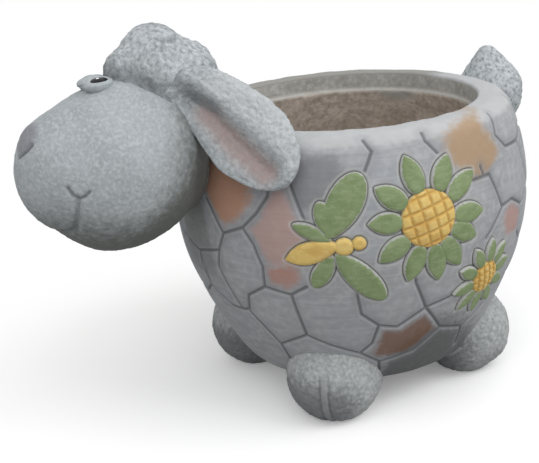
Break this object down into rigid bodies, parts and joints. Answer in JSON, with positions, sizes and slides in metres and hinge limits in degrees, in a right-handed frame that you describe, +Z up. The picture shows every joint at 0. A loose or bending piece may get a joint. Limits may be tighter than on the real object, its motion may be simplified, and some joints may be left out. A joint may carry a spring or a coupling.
{
  "type": "animal shaped planter",
  "caption": "Cast cement planter shaped as a standing sheep: round bowl body with a drain hole, head, ears, tail and feet, flower and dragonfly relief on the flanks.",
  "frame": {"origin": "on the ground, at the middle of the whole length and width", "axes": "+Z up, the sheep faces -Y, its left side is +X"},
  "size_m": [0.273, 0.4258, 0.294],
  "materials": {
    "painted_paving": "matt, lilac grey wash with dark joints and tinted stones",
    "wool_cement": "matt, stippled blue grey",
    "rough_cement": "matt, rough grey",
    "pupil_black": "gloss black paint",
    "petal_green": "matt green paint",
    "flower_yellow": "matt yellow paint",
    "mortar": "matt",
    "dowel_steel": "plain bar"
  },
  "bodies": {
    "root": {"cap_dowel": "dowel_steel", "cap_mortar": "mortar", "foot_dowels": "dowel_steel", "foot_mortar": "mortar", "front_left_foot": "rough_cement", "front_right_foot": "rough_cement", "head": "wool_cement", "left_dragonfly_body": "flower_yellow", "left_dragonfly_wings": "petal_green", "left_ear": "wool_cement", "left_ear_dowel": "dowel_steel", "left_ear_mortar": "mortar", "left_eye": "wool_cement", "left_pupil": "pupil_black", "left_small_sunflower_disc": "flower_yellow", "left_small_sunflower_petals": "petal_green", "left_sunflower_disc": "flower_yellow", "left_sunflower_petals": "petal_green", "neck_dowels": "dowel_steel", "neck_mortar": "mortar", "pot_shell": "painted_paving", "rear_left_foot": "rough_cement", "rear_right_foot": "rough_cement", "right_dragonfly_body": "flower_yellow", "right_dragonfly_wings": "petal_green", "right_ear": "wool_cement", "right_ear_dowel": "dowel_steel", "right_ear_mortar": "mortar", "right_eye": "wool_cement", "right_pupil": "pupil_black", "right_small_sunflower_disc": "flower_yellow", "right_small_sunflower_petals": "petal_green", "right_sunflower_disc": "flower_yellow", "right_sunflower_petals": "petal_green", "tail": "wool_cement", "tail_dowel": "dowel_steel", "tail_mortar": "mortar", "wool_cap": "wool_cement"}
  },
  "joints": []
}
